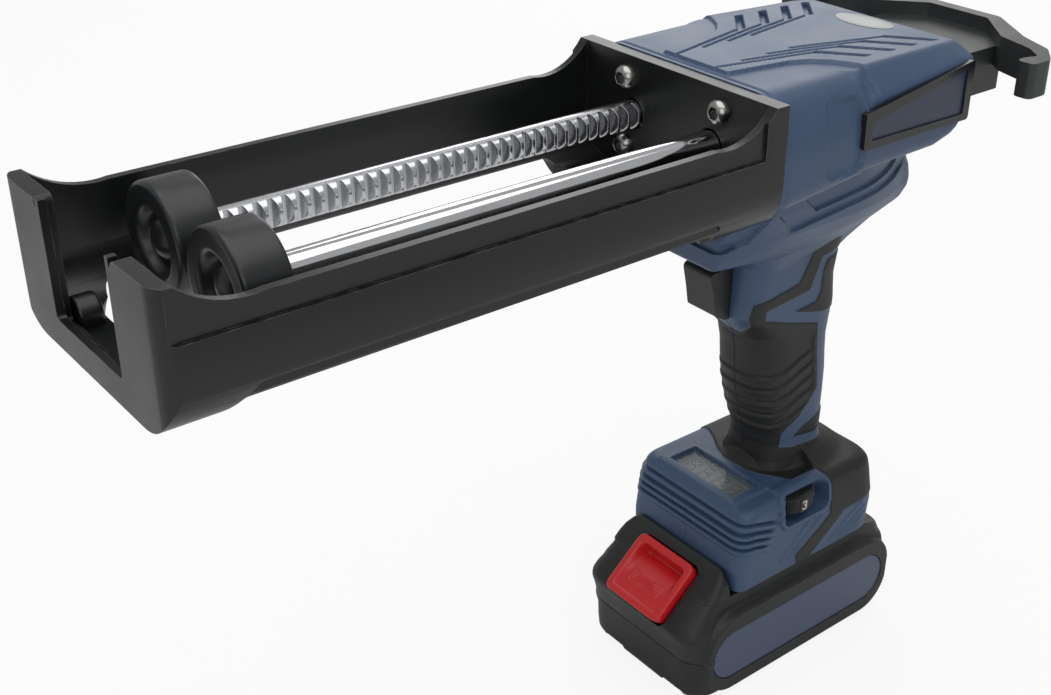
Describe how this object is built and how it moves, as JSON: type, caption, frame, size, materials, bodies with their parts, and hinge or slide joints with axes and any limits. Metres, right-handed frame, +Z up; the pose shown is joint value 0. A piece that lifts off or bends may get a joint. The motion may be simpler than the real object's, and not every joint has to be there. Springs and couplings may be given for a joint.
{
  "type": "cordless twin-cartridge caulking tool",
  "caption": "Battery-powered caulking tool with an open tray for a side-by-side cartridge; a rack rod and a plain rod push plungers forward, with a pistol grip, speed dial and clip-on battery.",
  "frame": {"origin": "middle of the battery's flat underside, on which the tool stands", "axes": "+X the way the rods push, +Y the tool's left, +Z up"},
  "size_m": [0.396, 0.132, 0.278],
  "materials": {
    "cradle_black": "moulded satin black",
    "screw_steel": "plated steel",
    "rod_steel": "ground steel with cut teeth",
    "rod_chrome": "bright ground bar",
    "plunger_black": "matte black",
    "yoke_black": "moulded satin black",
    "housing_blue": "moulded steel blue, fine grain",
    "grip_rubber": "soft black overmould",
    "badge_black": "gloss black",
    "badge_plate": "dark blue, bare",
    "gear_case": "die cast",
    "bush_brass": "sintered bronze",
    "gear_steel": "machined steel",
    "inner_plastic": "moulded, hidden",
    "trigger_black": "satin black",
    "spring_steel": "spring wire",
    "board_green": "circuit board",
    "display_lens": "clear cover, bare",
    "display_grey": "blank display",
    "dial_black": "ribbed black",
    "contact_brass": "plated contact",
    "battery_black": "moulded satin black",
    "battery_label": "bare blue-grey inlay",
    "cell_can": "stands in for a lithium cell's mean density",
    "latch_red": "red"
  },
  "bodies": {
    "main": {"cartridge_cradle": "cradle_black", "cradle_screws": "screw_steel", "housing_left": "housing_blue", "housing_right": "housing_blue", "grip_rubber_left": "grip_rubber", "grip_rubber_right": "grip_rubber", "housing_screws": "screw_steel", "badge_frame_left": "badge_black", "badge_frame_right": "badge_black", "badge_plate_left": "badge_plate", "badge_plate_right": "badge_plate", "gear_case": "gear_case", "gear_case_cover": "gear_case", "cover_screws": "screw_steel", "rod_bushes": "bush_brass", "lower_bearing": "gear_steel", "upper_bearing": "gear_steel", "ring_gear": "gear_steel", "motor_can": "gear_steel", "motor_end_cap": "inner_plastic", "trigger_switch": "inner_plastic", "trigger_spring": "spring_steel", "release_spring": "spring_steel", "control_board": "board_green", "display_lens": "display_lens", "display_module": "display_grey", "dial_pot": "inner_plastic", "terminal_block": "inner_plastic", "terminal_blades": "contact_brass"},
    "push_rods": {"rack_rod": "rod_steel", "plain_rod": "rod_chrome", "rack_plunger": "plunger_black", "plain_plunger": "plunger_black", "plunger_screws": "plunger_black", "pull_yoke": "yoke_black", "yoke_screws": "screw_steel"},
    "pinion": {"rack_pinion": "gear_steel", "pinion_shaft": "gear_steel", "bevel_gear": "gear_steel"},
    "carrier": {"bevel_pinion": "gear_steel", "planet_carrier": "gear_steel"},
    "planet_1": {"planet_gear_1": "gear_steel"},
    "planet_2": {"planet_gear_2": "gear_steel"},
    "planet_3": {"planet_gear_3": "gear_steel"},
    "rotor": {"motor_rotor": "gear_steel", "sun_gear": "gear_steel"},
    "trigger": {"trigger": "trigger_black"},
    "release_button": {"release_button": "trigger_black"},
    "speed_dial": {"speed_dial": "dial_black"},
    "battery": {"battery_case_lower": "battery_black", "battery_case_upper": "battery_black", "battery_label_left": "battery_label", "battery_label_right": "battery_label", "battery_cells": "cell_can", "battery_board": "board_green", "battery_contacts": "contact_brass", "battery_screws": "screw_steel", "latch_spring": "spring_steel"},
    "latch": {"battery_latch": "latch_red"}
  },
  "joints": [
    {"name": "push_rod_slide", "type": "slide", "parent": "main", "child": "push_rods", "axis": [1, 0, 0], "range_m": [-0.165, 0]},
    {"name": "pinion_spin", "type": "hinge", "parent": "main", "child": "pinion", "pos_m": [0.0312, -0.00578, 0.254], "axis": [0, 0, 1], "range_deg": [-849.1, 5]},
    {"name": "carrier_spin", "type": "hinge", "parent": "main", "child": "carrier", "pos_m": [0, -0.00578, 0.214], "axis": [1, 0, 0], "range_deg": [-1693.2, 5]},
    {"name": "planet_1_spin", "type": "hinge", "parent": "carrier", "child": "planet_1", "pos_m": [0.0004, 0.00322, 0.214], "axis": [1, 0, 0], "range_deg": [-5, 4506.8]},
    {"name": "planet_2_spin", "type": "hinge", "parent": "carrier", "child": "planet_2", "pos_m": [0.0004, -0.01028, 0.22179], "axis": [1, 0, 0], "range_deg": [-5, 4506.8]},
    {"name": "planet_3_spin", "type": "hinge", "parent": "carrier", "child": "planet_3", "pos_m": [0.0004, -0.01028, 0.20621], "axis": [1, 0, 0], "range_deg": [-5, 4506.8]},
    {"name": "rotor_spin", "type": "hinge", "parent": "main", "child": "rotor", "pos_m": [-0.02, -0.00578, 0.214], "axis": [1, 0, 0], "range_deg": [-8445.9, 5]},
    {"name": "trigger_slide", "type": "slide", "parent": "main", "child": "trigger", "axis": [-1, 0, 0], "range_m": [0, 0.006], "stiffness_N_per_m": 900, "springref_m": -0.003, "deforming": ["trigger_spring"]},
    {"name": "release_button_slide", "type": "slide", "parent": "main", "child": "release_button", "axis": [1, 0, 0], "range_m": [0, 0.003], "stiffness_N_per_m": 900, "springref_m": -0.002, "deforming": ["release_spring"]},
    {"name": "speed_dial_turn", "type": "hinge", "parent": "main", "child": "speed_dial", "pos_m": [0.002, 0.0222, 0.0825], "axis": [0, 0, 1], "range_deg": [-135, 135]},
    {"name": "battery_slide", "type": "slide", "parent": "main", "child": "battery", "axis": [1, 0, 0], "range_m": [0, 0.09]},
    {"name": "battery_latch_slide", "type": "slide", "parent": "battery", "child": "latch", "axis": [-0.6562, 0, -0.7546], "range_m": [0, 0.0035], "stiffness_N_per_m": 1200, "springref_m": -0.002, "deforming": ["latch_spring"]}
  ],
  "couplings": [
    {"joint": "pinion_spin", "follows": "push_rod_slide", "rad_per_m": 89.286},
    {"joint": "carrier_spin", "follows": "push_rod_slide", "rad_per_m": 178.57},
    {"joint": "rotor_spin", "follows": "push_rod_slide", "rad_per_m": 892.86},
    {"joint": "planet_1_spin", "follows": "push_rod_slide", "rad_per_m": -476.19},
    {"joint": "planet_2_spin", "follows": "push_rod_slide", "rad_per_m": -476.19},
    {"joint": "planet_3_spin", "follows": "push_rod_slide", "rad_per_m": -476.19}
  ]
}
